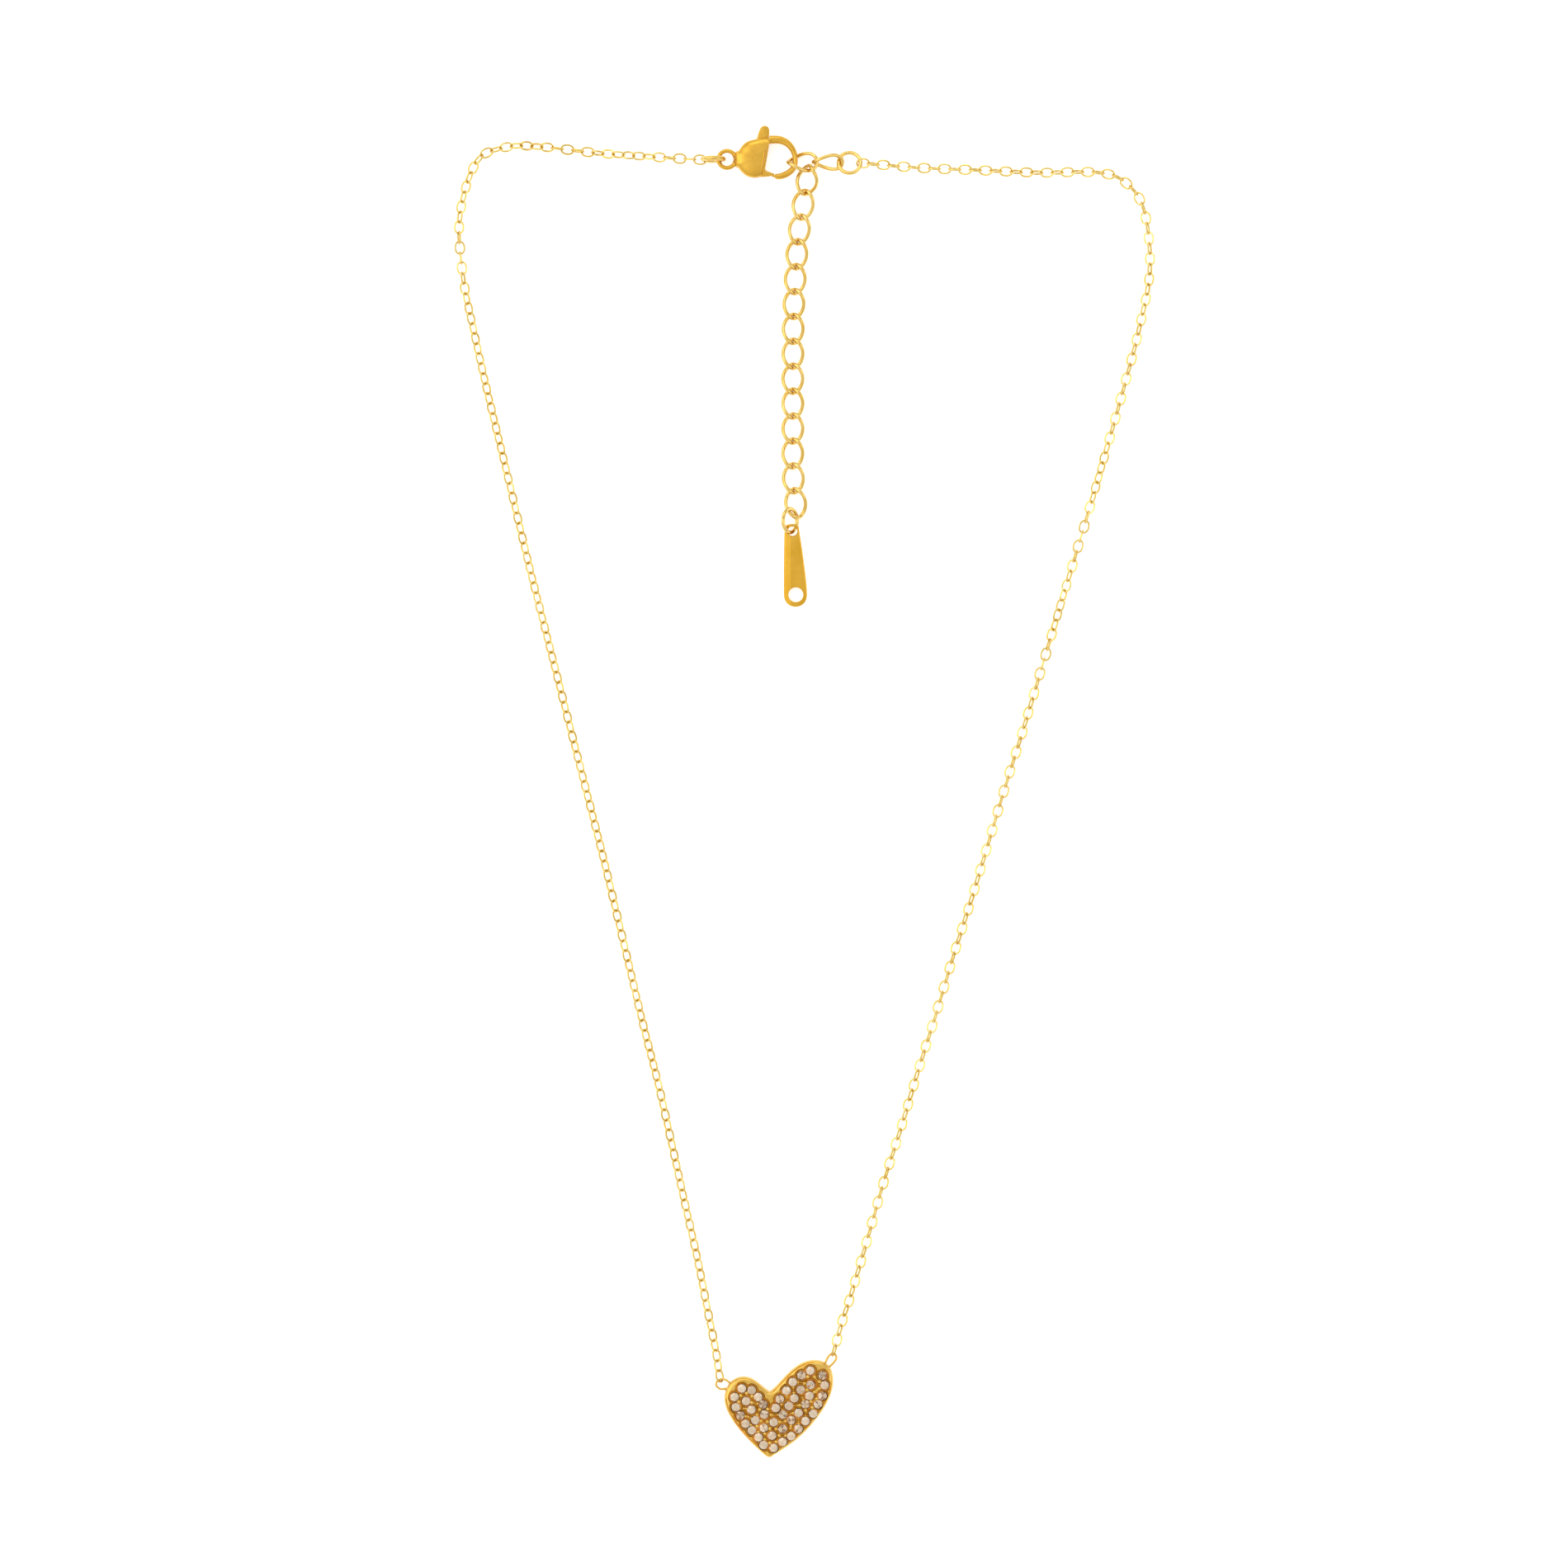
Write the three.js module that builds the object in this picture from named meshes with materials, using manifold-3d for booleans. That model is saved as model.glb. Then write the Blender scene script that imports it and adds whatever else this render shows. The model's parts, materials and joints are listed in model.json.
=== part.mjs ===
// Pendant necklace, laid flat: a heart pendant set with round stones hangs between
// two fine cable chains, and a lobster clasp hooks into a curb-link extender with an
// end tag. Millimetres. +X right, +Y from the pendant to the clasp, +Z up out of
// the surface it lies on. Origin: middle of the heart's flat back face.

import * as THREE from 'three';
import { mergeVertices } from 'three/addons/utils/BufferGeometryUtils.js';
import Module from 'manifold-3d';

const wasm = await Module();
wasm.setup();

// ---------------------------------------------------------------- driving sizes

const CLEARANCE = 0.06;            // running gap between pieces of this size

const HEART_THICKNESS = 1.9;
const HEART_EDGE_BEVEL = 0.3;
const TRAY_FLOOR_Z = 0.9;          // height of the floor that the stones stand on
const RIM_WIDTH = 0.5;             // mean width of the polished rim
const RIM_WIDTH_SWING = 0.14;      // wider above, narrower below

const STONE_DIAMETER = 1.08;
const STONE_HEIGHT = 0.95;
const STONE_SIDES = 8;
const ADHESIVE_WIDTH = 0.3;
const ADHESIVE_HEIGHT = 0.25;

const HEART_LOOP_WIRE = 0.28;

const CHAIN_DIAMETER = 1.3;        // across the cable chain's turned links
const CHAIN_SIDES = 8;
const CHAIN_STEPS = 40;

const LINK_LENGTH = 4.06;          // outer length of an extender link
const LINK_WIDTH = 2.88;
const LINK_WIRE = 0.44;
const LINK_PITCH = 3.05;
const LINK_TWIST = 45;             // each end turns this far, in degrees
const LINK_CENTRE_Z = 0.8;
const FIRST_LINK_Z = 1.15;
const FIRST_LINK_RISE = 12;
const FIRST_LINK_TOP_TWIST = 65;

const RING_DIAMETER = 3.15;        // jump rings, outside
const TAG_RING_DIAMETER = 3.3;
const RING_WIRE = 0.5;

const CLASP_THICKNESS = 2.3;
const CLASP_BEVEL = 0.35;
const HOOK_THICKNESS = 1.1;
const HOOK_BEVEL = 0.22;
const SLOT_HEIGHT = 1.0;
const LEVER_THICKNESS = 0.84;
const PIN_RADIUS = 0.28;

const TAG_THICKNESS = 0.6;
const TAG_BEVEL = 0.16;
const TAG_RISE = 6;

const gold = { color: 0xdcae4a, roughness: 0.22, metalness: 1.0 };
const GOLD = new THREE.MeshStandardMaterial(gold);
const SPRING_STEEL = new THREE.MeshStandardMaterial({
  color: 0xb9bcc0, roughness: 0.35, metalness: 1.0,
});
const STONE = new THREE.MeshStandardMaterial({
  color: 0xe4d6c4, roughness: 0.08, metalness: 0.0,
});

const necklace = new THREE.Group();

// ---------------------------------------------------------------- shared helpers

function addPiece(name, geometry, material) {
  const mesh = new THREE.Mesh(geometry, material);
  mesh.name = name;
  necklace.add(mesh);
  return mesh;
}

function bare(geometry) {
  const copy = geometry.clone();
  copy.deleteAttribute('normal');
  copy.deleteAttribute('uv');
  return mergeVertices(copy, 1e-4);
}

function toSolid(geometry) {
  const merged = bare(geometry);
  return new wasm.Manifold(new wasm.Mesh({
    numProp: 3,
    vertProperties: new Float32Array(merged.attributes.position.array),
    triVerts: new Uint32Array(merged.index.array),
  }));
}

function toGeometry(solid) {
  const mesh = solid.getMesh();
  const geometry = new THREE.BufferGeometry();
  geometry.setAttribute('position', new THREE.BufferAttribute(mesh.vertProperties, 3));
  geometry.setIndex(new THREE.BufferAttribute(mesh.triVerts, 1));
  geometry.computeVertexNormals();
  return geometry;
}

function vectors(pairs) {
  return pairs.map(([x, y]) => new THREE.Vector2(x, y));
}

// A flat shape raised between two heights, with its upper and lower edges bevelled.
function slab(shape, bottom, top, bevel = 0, curveSegments = 8) {
  const geometry = new THREE.ExtrudeGeometry(shape, {
    depth: top - bottom - 2 * bevel,
    bevelEnabled: bevel > 0,
    bevelThickness: bevel,
    bevelSize: bevel,
    bevelOffset: -bevel,
    bevelSegments: 1,
    curveSegments,
  });
  geometry.translate(0, 0, bottom + bevel);
  return geometry;
}

function drill(radius, x, y, bottom, top, sides = 16) {
  const geometry = new THREE.CylinderGeometry(radius, radius, top - bottom, sides);
  geometry.rotateX(Math.PI / 2);
  geometry.translate(x, y, (top + bottom) / 2);
  return geometry;
}

// A closed loop of round wire: a torus whose rings of vertices are moved onto the
// closed centre line. The wire's section stays square to the line.
function wireLoop(centreLine, wire, segments = 16, sides = 6) {
  const geometry = new THREE.TorusGeometry(1, 0.5, sides, segments);
  const position = geometry.attributes.position;
  const step = 1e-3;
  for (let side = 0; side <= sides; side += 1) {
    const around = ((side % sides) / sides) * 2 * Math.PI;
    for (let i = 0; i <= segments; i += 1) {
      const turn = (i % segments) / segments;
      const centre = centreLine(turn);
      const tangent = centreLine(turn + step).sub(centreLine(turn - step)).normalize();
      const outward = centre.clone().addScaledVector(tangent, -centre.dot(tangent)).normalize();
      const across = new THREE.Vector3().crossVectors(outward, tangent);
      const point = centre.clone()
        .addScaledVector(outward, Math.cos(around) * wire / 2)
        .addScaledVector(across, Math.sin(around) * wire / 2);
      position.setXYZ(side * (segments + 1) + i, point.x, point.y, point.z);
    }
  }
  return bare(geometry);
}

// An oval about the origin, long along Y, whose plane turns from one twist at the
// low end to another at the high end. Angles in degrees.
function ovalLine(length, width, wire, twistLow = 0, twistHigh = 0) {
  const halfLength = (length - wire) / 2;
  const halfWidth = (width - wire) / 2;
  return (turn) => {
    const angle = turn * 2 * Math.PI;
    const y = halfLength * Math.sin(angle);
    const across = halfWidth * Math.cos(angle);
    const share = (y / halfLength + 1) / 2;
    const twist = THREE.MathUtils.degToRad(THREE.MathUtils.lerp(twistLow, twistHigh, share));
    return new THREE.Vector3(across * Math.cos(twist), y, across * Math.sin(twist));
  };
}

// ---------------------------------------------------------------- heart pendant

// Outline of the tilted heart, from the cleft round the right lobe, the point and
// the left lobe.
function heartOutline() {
  const shape = new THREE.Shape();
  shape.moveTo(-1.17, 2.1);
  shape.bezierCurveTo(0.3, 3.2, 1.7, 5.9, 4.2, 5.97);
  shape.bezierCurveTo(5.9, 6.0, 6.7, 4.9, 6.6, 3.2);
  shape.bezierCurveTo(6.5, 0.9, 4.4, -1.5, 3.1, -2.9);
  shape.bezierCurveTo(1.5, -4.4, 0.9, -4.7, -0.76, -5.75);
  shape.bezierCurveTo(-1.05, -6.05, -1.4, -6.05, -1.77, -5.73);
  shape.bezierCurveTo(-3.6, -4.2, -6.9, -0.9, -6.77, 1.3);
  shape.bezierCurveTo(-6.7, 3.0, -5.6, 3.95, -4.35, 3.95);
  shape.bezierCurveTo(-3.0, 3.95, -2.0, 2.5, -1.17, 2.1);
  return shape;
}

// The outline moved inwards by a width that follows its direction: wide where the
// edge faces up the necklace, narrow where it faces down. A negative width moves
// it outwards. Points that would cross to the far side of a corner are dropped.
function offsetOutline(points, widthFor) {
  const moved = [];
  points.forEach((point, i) => {
    const before = points[(i + points.length - 1) % points.length];
    const after = points[(i + 1) % points.length];
    const along = after.clone().sub(before).normalize();
    const inward = new THREE.Vector2(along.y, -along.x);
    const width = widthFor(-inward.y);
    const candidate = point.clone().addScaledVector(inward, width);
    const nearest = Math.min(...points.map((other) => other.distanceTo(candidate)));
    if (nearest > Math.abs(width) * 0.96) moved.push(candidate);
  });
  return moved;
}

const heartPoints = heartOutline().getPoints(6).slice(0, -1);
const heartShape = new THREE.Shape(heartPoints);
const trayPoints = offsetOutline(heartPoints, (up) => RIM_WIDTH + RIM_WIDTH_SWING * up);
const trayShape = new THREE.Shape(trayPoints);

// Centres of the round stones, row by row.
const STONE_ROWS = {
  stone_row_left_edge: [
    [-5.5, 1.45], [-5.35, 0.2], [-4.8, -0.8], [-4.15, -1.85],
    [-3.4, -2.65], [-2.55, -3.5], [-1.95, -4.45],
  ],
  stone_row_left_lobe: [
    [-4.6, 2.5], [-3.4, 2.3], [-2.6, 1.45], [-2.0, 0.55], [-1.85, -0.7],
  ],
  stone_row_left_inner: [
    [-4.1, 0.95], [-3.45, -0.1], [-2.95, -1.4], [-1.9, -2.35],
  ],
  stone_row_right_edge: [
    [5.3, 4.1], [5.55, 2.9], [5.3, 1.6], [4.75, 0.55], [4.15, -0.6],
    [3.2, -1.5], [2.35, -2.45], [1.45, -3.35], [0.4, -4.05], [-0.7, -4.8],
  ],
  stone_row_right_lobe: [
    [3.8, 4.7], [2.7, 4.1], [1.65, 3.3], [0.85, 2.25], [0.05, 1.2], [-0.45, 0.1],
  ],
  stone_row_middle_upper: [
    [3.9, 3.0], [2.6, 2.35], [1.85, 1.3], [1.15, 0.35], [0.4, -0.7], [-0.7, -1.65],
  ],
  stone_row_middle_lower: [
    [3.7, 1.6], [3.2, 0.55], [2.35, -0.5], [1.45, -1.4], [0.4, -2.45], [-0.9, -3.3],
  ],
};

// The tray is sunk into the front, and a seat is bored for each stone, so that the
// outer stones bite into the rim.
let heart = toSolid(slab(heartShape, 0, HEART_THICKNESS, HEART_EDGE_BEVEL))
  .subtract(toSolid(slab(trayShape, TRAY_FLOOR_Z, HEART_THICKNESS + 1)));
const seatRadius = STONE_DIAMETER / 2 + CLEARANCE;
for (const [x, y] of Object.values(STONE_ROWS).flat()) {
  heart = heart.subtract(toSolid(drill(seatRadius, x, y, TRAY_FLOOR_Z, HEART_THICKNESS + 1, 10)));
}
addPiece('heart_base', toGeometry(heart), GOLD);

// Solder loops at the heart's edge: wire ovals cut back to the heart's outline.
const clearPoints = offsetOutline(heartPoints, () => -CLEARANCE);
const heartClear = toSolid(slab(new THREE.Shape(clearPoints), -1, HEART_THICKNESS + 1));

function addHeartLoop(name, x, y, length, width, turn) {
  const loop = wireLoop(ovalLine(length, width, HEART_LOOP_WIRE), HEART_LOOP_WIRE);
  loop.rotateZ(THREE.MathUtils.degToRad(turn));
  loop.translate(x, y, HEART_THICKNESS / 2);
  addPiece(name, toGeometry(toSolid(loop).subtract(heartClear)), GOLD);
}

addHeartLoop('heart_loop_left', -7.05, 3.0, 1.75, 1.35, 75);
addHeartLoop('heart_loop_right', 6.34, 6.05, 1.75, 1.35, -20);

// Each row is one piece: its stones stand on a thin run of the adhesive that holds
// them in the tray.
const stoneBottom = TRAY_FLOOR_Z + CLEARANCE;

function roundStone(x, y) {
  const radius = STONE_DIAMETER / 2;
  const girdle = STONE_HEIGHT * 0.62;
  const profile = vectors([
    [0, 0], [radius * 0.35, 0], [radius, girdle], [radius * 0.6, STONE_HEIGHT], [0, STONE_HEIGHT],
  ]);
  const geometry = new THREE.LatheGeometry(profile, STONE_SIDES);
  geometry.rotateX(Math.PI / 2);
  geometry.translate(x, y, stoneBottom);
  return toSolid(geometry);
}

function adhesiveRun([x0, y0], [x1, y1]) {
  const length = Math.hypot(x1 - x0, y1 - y0);
  const geometry = new THREE.BoxGeometry(length, ADHESIVE_WIDTH, ADHESIVE_HEIGHT);
  geometry.rotateZ(Math.atan2(y1 - y0, x1 - x0));
  geometry.translate((x0 + x1) / 2, (y0 + y1) / 2, stoneBottom + ADHESIVE_HEIGHT / 2);
  return toSolid(geometry);
}

for (const [name, centres] of Object.entries(STONE_ROWS)) {
  let row = roundStone(...centres[0]);
  for (let i = 1; i < centres.length; i += 1) {
    row = row.add(roundStone(...centres[i]));
    row = row.add(adhesiveRun(centres[i - 1], centres[i]));
  }
  addPiece(name, toGeometry(row), STONE);
}

// ---------------------------------------------------------------- cable chains

// Each strand's route lies on the surface and rises a little at its two ends, to
// the loop on the heart and to the ring at the clasp or the extender.
const LEFT_STRAND = [
  [-7.4, 4.3, 0.95], [-7.9, 7.5, 0.72], [-8.7, 11.4, 0.66], [-10.1, 18.5, 0.66],
  [-11.7, 25.6, 0.66], [-13.3, 32.8, 0.66], [-14.9, 39.9, 0.66], [-16.7, 47.0, 0.66],
  [-18.4, 54.1, 0.66], [-20.1, 61.2, 0.66], [-21.8, 68.3, 0.66], [-23.6, 75.4, 0.66],
  [-25.4, 82.4, 0.66], [-27.2, 89.5, 0.66], [-29.0, 96.6, 0.66], [-30.8, 103.7, 0.66],
  [-32.5, 110.8, 0.66], [-34.2, 117.9, 0.66], [-35.9, 125.0, 0.66], [-37.5, 132.1, 0.66],
  [-38.9, 139.2, 0.66], [-39.25, 146.5, 0.66], [-37.2, 153.1, 0.66], [-33.7, 154.9, 0.66],
  [-29.6, 155.0, 0.66], [-22.3, 154.2, 0.66], [-15.0, 153.7, 0.7], [-9.95, 153.3, 1.1],
];
const RIGHT_STRAND = [
  [6.7, 7.45, 0.95], [7.8, 11.0, 0.72], [8.8, 14.0, 0.66], [10.8, 20.8, 0.66],
  [12.8, 27.8, 0.66], [15.0, 34.7, 0.66], [17.1, 41.7, 0.66], [19.3, 48.7, 0.66],
  [21.4, 55.7, 0.66], [23.6, 62.6, 0.66], [25.7, 69.6, 0.66], [27.8, 76.6, 0.66],
  [30.0, 83.6, 0.66], [32.1, 90.6, 0.66], [34.2, 97.6, 0.66], [36.3, 104.6, 0.66],
  [38.4, 111.6, 0.66], [40.4, 118.6, 0.66], [42.35, 125.6, 0.66], [44.2, 132.7, 0.66],
  [45.5, 139.9, 0.66], [44.8, 147.1, 0.66], [42.6, 150.5, 0.66], [39.2, 151.8, 0.66],
  [31.8, 151.8, 0.66], [24.5, 152.1, 0.66], [17.2, 152.4, 0.66], [10.65, 152.9, 0.75],
];

function addStrand(name, route) {
  const path = new THREE.CatmullRomCurve3(route.map((p) => new THREE.Vector3(...p)));
  const section = new THREE.Shape();
  section.absarc(0, 0, CHAIN_DIAMETER / 2, 0, 2 * Math.PI, false);
  const sectionPoints = section.getPoints(CHAIN_SIDES).slice(0, CHAIN_SIDES);
  const geometry = new THREE.ExtrudeGeometry(new THREE.Shape(sectionPoints), {
    steps: CHAIN_STEPS,
    extrudePath: path,
  });
  addPiece(name, bare(geometry), GOLD);
}

addStrand('chain_left', LEFT_STRAND);
addStrand('chain_right', RIGHT_STRAND);

// ---------------------------------------------------------------- lobster clasp

// Positions here are measured from the centre of the clasp's eye.
const EYE_X = -6.44;
const EYE_Y = 153.4;
const EYE_DIAMETER = 2.64;
const EYE_WIRE = 0.52;
const PIVOT_X = 4.05;
const PIVOT_Y = 1.55;
const TIP_RADIUS = 3.9;            // from the pivot to the end of the lever
const CLASP_MID_Z = CLASP_THICKNESS / 2;

function housingShape() {
  const shape = new THREE.Shape();
  shape.moveTo(1.1, 0.9);
  shape.bezierCurveTo(1.6, 1.05, 1.7, 1.6, 2.2, 2.0);
  shape.bezierCurveTo(2.8, 2.4, 3.3, 2.45, 4.0, 2.6);
  shape.lineTo(5.5, 2.86);
  shape.lineTo(5.45, 1.9);
  shape.lineTo(4.75, 1.75);
  shape.lineTo(4.05, -2.05);
  shape.bezierCurveTo(3.4, -2.4, 2.6, -2.3, 2.0, -1.75);
  shape.bezierCurveTo(1.6, -1.4, 1.5, -1.0, 1.1, -0.9);
  return shape;
}

function hookShape() {
  const shape = new THREE.Shape();
  shape.moveTo(5.3, 2.82);
  shape.bezierCurveTo(6.9, 3.1, 8.6, 2.6, 8.72, -0.1);
  shape.bezierCurveTo(8.75, -1.7, 7.4, -2.4, 6.3, -2.5);
  shape.lineTo(5.58, -2.2);
  shape.lineTo(5.58, -1.76);
  shape.lineTo(6.3, -1.76);
  shape.bezierCurveTo(7.3, -1.6, 8.0, -0.9, 8.06, 0.0);
  shape.bezierCurveTo(8.0, 1.7, 6.9, 2.1, 5.9, 1.95);
  shape.lineTo(5.3, 1.85);
  return shape;
}

function slotShape() {
  return new THREE.Shape(vectors([
    [2.5, 1.3], [3.2, 3.4], [5.22, 3.4], [5.22, 1.8], [5.9, 1.8], [5.6, -2.6],
    [3.4, -2.6], [2.5, -1.2],
  ]));
}

function leverShape() {
  const shape = new THREE.Shape();
  shape.moveTo(3.85, 2.2);
  shape.bezierCurveTo(4.0, 2.8, 3.9, 4.05, 4.6, 4.1);
  shape.bezierCurveTo(5.4, 4.1, 5.1, 3.0, 5.12, 2.55);
  shape.lineTo(5.15, 1.6);
  shape.lineTo(4.68, -1.15);
  shape.lineTo(4.82, -1.42);
  shape.lineTo(5.95, -1.8);
  const reach = Math.atan2(-3.4, 1.9);
  const heel = Math.atan2(-3.65, 1.37);
  shape.absarc(PIVOT_X, PIVOT_Y, TIP_RADIUS, reach, heel, true);
  shape.lineTo(4.0, -2.17);
  shape.lineTo(3.5, 1.2);
  return shape;
}

function placeAtEye(geometry) {
  geometry.translate(EYE_X, EYE_Y, 0);
  return geometry;
}

const slotBottom = CLASP_MID_Z - SLOT_HEIGHT / 2;
const slotTop = CLASP_MID_Z + SLOT_HEIGHT / 2;
const hookBottom = CLASP_MID_Z - HOOK_THICKNESS / 2;
const hookTop = CLASP_MID_Z + HOOK_THICKNESS / 2;
const pinHole = toSolid(drill(PIN_RADIUS + CLEARANCE, PIVOT_X, PIVOT_Y, -1, 4));

const tipSweep = toSolid(drill(TIP_RADIUS + CLEARANCE, PIVOT_X, PIVOT_Y, -1, 4, 48));
const tipZone = toSolid(slab(new THREE.Shape(vectors([
  [4.5, -1.0], [4.5, -3.0], [6.4, -3.0], [6.4, -1.0],
])), -1, 4));
const hook = toSolid(slab(hookShape(), hookBottom, hookTop, HOOK_BEVEL))
  .subtract(tipSweep.intersect(tipZone));

const eyeLoop = wireLoop(ovalLine(EYE_DIAMETER, EYE_DIAMETER, EYE_WIRE), EYE_WIRE, 20, 8);
const eye = toSolid(eyeLoop.translate(0, 0, CLASP_MID_Z));
const housing = toSolid(slab(housingShape(), 0, CLASP_THICKNESS, CLASP_BEVEL));
const claspBody = housing.add(eye).add(hook)
  .subtract(toSolid(slab(slotShape(), slotBottom, slotTop)))
  .subtract(pinHole);
addPiece('clasp_body', placeAtEye(toGeometry(claspBody)), GOLD);

const leverBottom = CLASP_MID_Z - LEVER_THICKNESS / 2;
const leverTop = CLASP_MID_Z + LEVER_THICKNESS / 2;
const lever = toSolid(slab(leverShape(), leverBottom, leverTop)).subtract(pinHole);
addPiece('clasp_lever', placeAtEye(toGeometry(lever)), GOLD);

const pin = drill(PIN_RADIUS, PIVOT_X, PIVOT_Y, 0.1, CLASP_THICKNESS - 0.1, 12);
addPiece('clasp_pivot_pin', placeAtEye(bare(pin)), SPRING_STEEL);

// A bent leaf between the housing's blind end and the back of the lever.
const leaf = new THREE.Shape();
leaf.moveTo(2.6, -0.9);
leaf.bezierCurveTo(3.5, -0.6, 3.5, 0.0, 2.75, 1.2);
leaf.lineTo(2.63, 1.12);
leaf.bezierCurveTo(3.3, 0.0, 3.3, -0.5, 2.6, -0.76);
const leafBottom = leverBottom + 0.1;
const leafTop = leverTop - 0.1;
addPiece('clasp_spring', placeAtEye(bare(slab(leaf, leafBottom, leafTop))), SPRING_STEEL);

// ---------------------------------------------------------------- jump rings

// A round ring. It lies flat until it is tipped about X and then about Y.
function addRing(name, diameter, place, tipX, tipY) {
  const circle = ovalLine(diameter, diameter, RING_WIRE);
  const ring = wireLoop(circle, RING_WIRE, 24, 8);
  const mesh = addPiece(name, ring, GOLD);
  mesh.rotation.set(THREE.MathUtils.degToRad(tipX), THREE.MathUtils.degToRad(tipY), 0, 'YXZ');
  mesh.position.set(...place);
}

addRing('clasp_ring', RING_DIAMETER, [-8.13, 153.4, 1.58], 90, 0);
addRing('extender_ring', RING_DIAMETER, [8.55, 152.95, 1.3], -30, 0);
addRing('tag_ring', TAG_RING_DIAMETER, [1.3, 109.4, 1.45], 0, 57);

// ---------------------------------------------------------------- extender

// Heading turns the link in the plane of the surface, and rise lifts its +Y end.
function addLink(name, place, heading, rise, twistLow, twistHigh) {
  const line = ovalLine(LINK_LENGTH, LINK_WIDTH, LINK_WIRE, twistLow, twistHigh);
  const mesh = addPiece(name, wireLoop(line, LINK_WIRE), GOLD);
  mesh.rotation.set(THREE.MathUtils.degToRad(rise), 0, THREE.MathUtils.degToRad(heading), 'ZYX');
  mesh.position.set(...place);
}

// Two links lie in line with the clasp: the first is caught by the hook.
addLink('extender_link_a', [2.83, 153.07, 1.2], -90, 0, 80, -10);
addLink('extender_link_b', [5.93, 153.05, 1.27], -90, 0, -85, -40);

// The rest hang down the middle of the necklace. The first of them climbs to the
// raised side of the caught link.
const HANGING_ROUTE = [
  [3.45, 150.85], [2.8, 147.2], [2.2, 142.6], [1.75, 135.0], [1.65, 128.0],
  [1.65, 121.0], [1.65, 116.0], [1.85, 112.5], [2.2, 110.0],
];
const HANGING_LINKS = 14;
const hangingCurve = new THREE.SplineCurve(vectors(HANGING_ROUTE));
const hangingLength = hangingCurve.getLength();

for (let i = 0; i < HANGING_LINKS; i += 1) {
  const share = (i * LINK_PITCH) / hangingLength;
  const centre = hangingCurve.getPointAt(share);
  const along = hangingCurve.getTangentAt(share);
  const heading = THREE.MathUtils.radToDeg(Math.atan2(along.y, along.x)) + 90;
  const first = i === 0;
  const z = first ? FIRST_LINK_Z : LINK_CENTRE_Z;
  const rise = first ? FIRST_LINK_RISE : 0;
  const topTwist = first ? FIRST_LINK_TOP_TWIST : LINK_TWIST;
  const number = String(i + 1).padStart(2, '0');
  addLink(`extender_link_${number}`, [centre.x, centre.y, z], heading, rise, -LINK_TWIST, topTwist);
}

// ---------------------------------------------------------------- end tag

// The tag is drawn from the middle of its lower end, and leans on its ring.
function tagShape() {
  const shape = new THREE.Shape();
  shape.moveTo(-1.35, 10.0);
  shape.bezierCurveTo(-1.15, 10.5, 0.2, 10.5, 0.42, 10.0);
  shape.bezierCurveTo(0.9, 6.5, 1.43, 3.0, 1.43, 1.5);
  shape.bezierCurveTo(1.43, -0.5, -1.43, -0.5, -1.43, 1.5);
  shape.bezierCurveTo(-1.43, 3.0, -1.45, 6.5, -1.35, 10.0);
  return shape;
}

const tag = toSolid(slab(tagShape(), 0, TAG_THICKNESS, TAG_BEVEL))
  .subtract(toSolid(drill(0.63, -0.55, 9.45, -1, 4)))
  .subtract(toSolid(drill(0.85, 0, 1.45, -1, 4)));
const tagMesh = addPiece('end_tag', toGeometry(tag), GOLD);
tagMesh.rotation.x = THREE.MathUtils.degToRad(TAG_RISE);
tagMesh.position.set(1.97, 98.5, 0.02);

export default necklace;
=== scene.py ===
"""Looks of a pendant necklace that lies flat on a white table, seen from straight above.

Shapes are drawn in millimetres and turned into metres as each piece is made.
"""

import json
import math
import random

import bmesh
import bpy
import numpy as np
from mathutils import Matrix, Vector
from mathutils.geometry import delaunay_2d_cdt


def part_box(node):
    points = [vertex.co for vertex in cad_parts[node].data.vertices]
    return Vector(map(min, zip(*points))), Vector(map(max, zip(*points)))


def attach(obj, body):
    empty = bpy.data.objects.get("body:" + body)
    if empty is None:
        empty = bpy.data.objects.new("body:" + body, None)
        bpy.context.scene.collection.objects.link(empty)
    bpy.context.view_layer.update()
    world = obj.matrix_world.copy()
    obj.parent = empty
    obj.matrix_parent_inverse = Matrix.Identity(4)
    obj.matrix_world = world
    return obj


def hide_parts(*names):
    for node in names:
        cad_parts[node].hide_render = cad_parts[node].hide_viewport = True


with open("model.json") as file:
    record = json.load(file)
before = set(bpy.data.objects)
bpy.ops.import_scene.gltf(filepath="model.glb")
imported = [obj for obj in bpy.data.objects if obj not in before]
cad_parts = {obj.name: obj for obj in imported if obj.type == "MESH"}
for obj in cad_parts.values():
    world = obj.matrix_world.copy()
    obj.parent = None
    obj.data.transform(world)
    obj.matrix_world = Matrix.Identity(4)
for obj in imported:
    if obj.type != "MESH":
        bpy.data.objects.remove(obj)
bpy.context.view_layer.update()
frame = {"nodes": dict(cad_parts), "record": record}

MM = 0.001

# ---------------------------------------------------------------- camera

VIEW_CENTRE = (0.56, 76.7)
VIEW_WIDTH = 192.7
CAMERA_HEIGHT = 1400.0
SENSOR_WIDTH = 36.0


def make_camera():
    """A long lens straight above the table."""
    data = bpy.data.cameras.new("camera")
    data.sensor_width = SENSOR_WIDTH
    data.lens = SENSOR_WIDTH * CAMERA_HEIGHT / VIEW_WIDTH
    camera = bpy.data.objects.new("camera", data)
    camera.location = (VIEW_CENTRE[0] * MM, VIEW_CENTRE[1] * MM, CAMERA_HEIGHT * MM)
    bpy.context.scene.collection.objects.link(camera)
    bpy.context.scene.camera = camera


make_camera()

# ---------------------------------------------------------------- materials


def link(tree, source, output, target, socket):
    tree.links.new(source.outputs[output], target.inputs[socket])


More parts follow.
